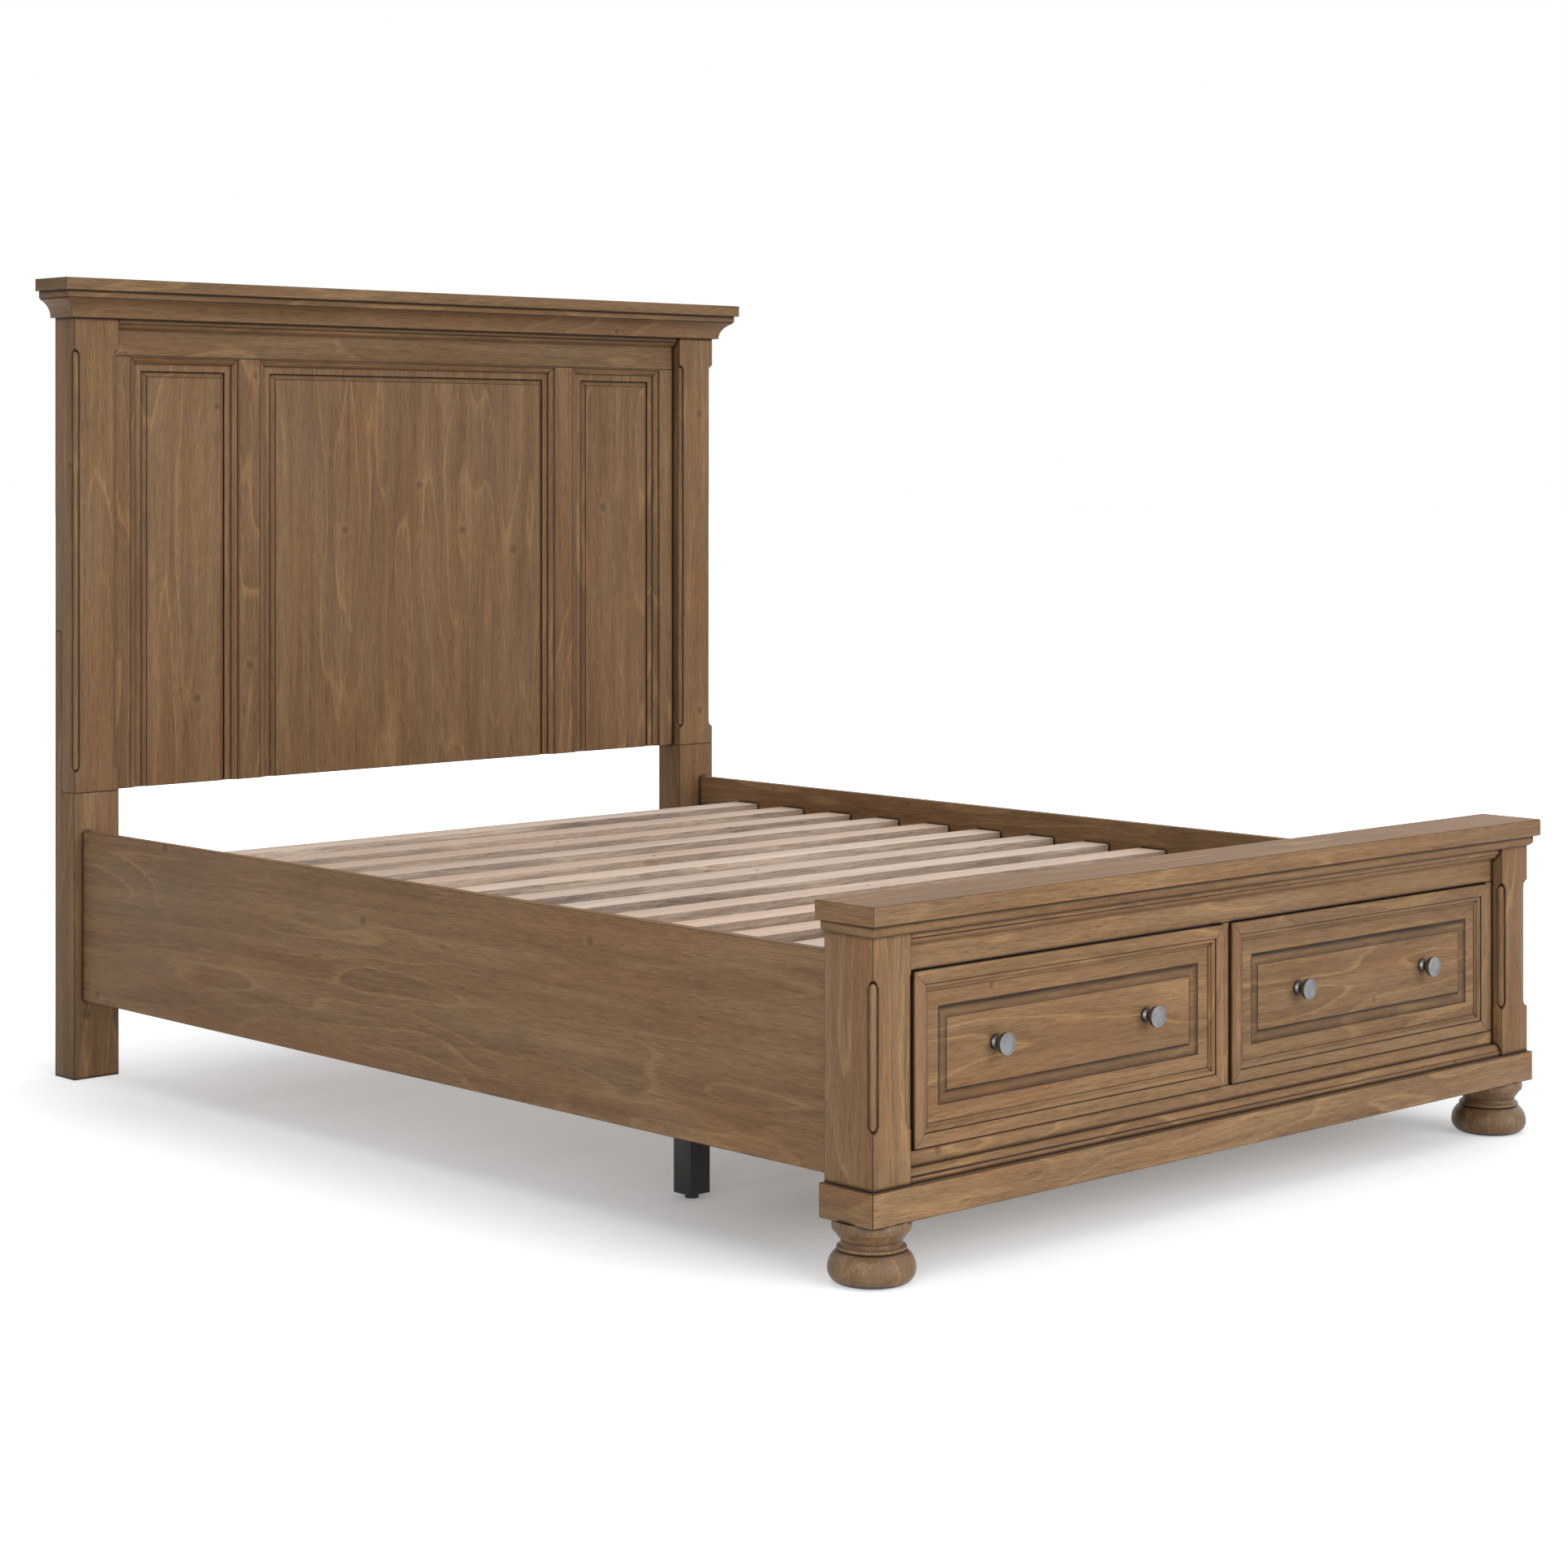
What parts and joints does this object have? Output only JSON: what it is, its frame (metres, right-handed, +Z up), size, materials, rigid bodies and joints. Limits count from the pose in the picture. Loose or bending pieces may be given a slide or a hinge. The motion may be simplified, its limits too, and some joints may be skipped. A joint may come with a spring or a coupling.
{
  "type": "storage bed",
  "caption": "Wooden storage bed with a raised-panel headboard, slatted base and a footboard with sliding drawers on turned bun feet.",
  "frame": {"origin": "on the floor, at the middle of the bed's length and width", "axes": "+Z up; +Y from the footboard to the headboard; +X to the right seen from the foot"},
  "size_m": [1.745, 2.279, 1.5525],
  "materials": {
    "stained_wood": "satin stained pine with a darker glaze in the seams",
    "slat_wood": "bare planed pale wood",
    "inner_wood": "bare planed wood",
    "box_wood": "bare plywood",
    "black_metal": "satin black powder coat",
    "black_plastic": "matte black",
    "knob_metal": "satin pewter",
    "zinc_steel": "bright zinc plate"
  },
  "bodies": {
    "frame": {"bottom_moulding": "stained_wood", "bun_foot_left": "stained_wood", "bun_foot_right": "stained_wood", "cap_moulding": "stained_wood", "case_divider": "inner_wood", "case_legs": "black_metal", "case_rear_rail": "inner_wood", "case_sides": "inner_wood", "centre_beam": "inner_wood", "centre_legs": "black_metal", "corner_blocks": "inner_wood", "crown_board": "stained_wood", "crown_cove": "stained_wood", "crown_step": "stained_wood", "foot_bottom_rail": "stained_wood", "foot_cap": "stained_wood", "foot_header": "stained_wood", "foot_post_beads": "stained_wood", "foot_post_left": "stained_wood", "foot_post_right": "stained_wood", "foot_stiles": "stained_wood", "foot_studs": "zinc_steel", "frame_bolts": "zinc_steel", "frieze_moulding": "stained_wood", "head_back_sheet": "box_wood", "head_leg_left": "stained_wood", "head_leg_right": "stained_wood", "head_panel_centre": "stained_wood", "head_panel_left": "stained_wood", "head_panel_moulding": "stained_wood", "head_panel_right": "stained_wood", "head_post_beads": "stained_wood", "head_post_left": "stained_wood", "head_post_right": "stained_wood", "head_stiles": "stained_wood", "head_top_rail": "stained_wood", "header_moulding": "stained_wood", "leg_glides": "black_plastic", "plinth": "stained_wood", "rail_brackets": "zinc_steel", "side_rail_left": "stained_wood", "side_rail_right": "stained_wood", "slat_ledges": "inner_wood", "slat_screws": "zinc_steel", "slats": "slat_wood", "slide_channels": "zinc_steel"},
    "drawer_left": {"drawer_front_left": "stained_wood", "drawer_moulding_left": "stained_wood", "drawer_box_left": "box_wood", "drawer_bottom_left": "box_wood", "drawer_knobs_left": "knob_metal", "slide_inners_left": "zinc_steel"},
    "drawer_right": {"drawer_front_right": "stained_wood", "drawer_moulding_right": "stained_wood", "drawer_box_right": "box_wood", "drawer_bottom_right": "box_wood", "drawer_knobs_right": "knob_metal", "slide_inners_right": "zinc_steel"},
    "slide_middle_left": {"slide_middles_left": "zinc_steel"},
    "slide_middle_right": {"slide_middles_right": "zinc_steel"}
  },
  "joints": [
    {"name": "drawer_left_slide", "type": "slide", "parent": "frame", "child": "drawer_left", "axis": [0, -1, 0], "range_m": [0, 0.38]},
    {"name": "slide_middle_left_slide", "type": "slide", "parent": "frame", "child": "slide_middle_left", "axis": [0, -1, 0], "range_m": [0, 0.19]},
    {"name": "drawer_right_slide", "type": "slide", "parent": "frame", "child": "drawer_right", "axis": [0, -1, 0], "range_m": [0, 0.38]},
    {"name": "slide_middle_right_slide", "type": "slide", "parent": "frame", "child": "slide_middle_right", "axis": [0, -1, 0], "range_m": [0, 0.19]}
  ],
  "couplings": [
    {"joint": "slide_middle_left_slide", "follows": "drawer_left_slide", "ratio": 0.5},
    {"joint": "slide_middle_right_slide", "follows": "drawer_right_slide", "ratio": 0.5}
  ]
}
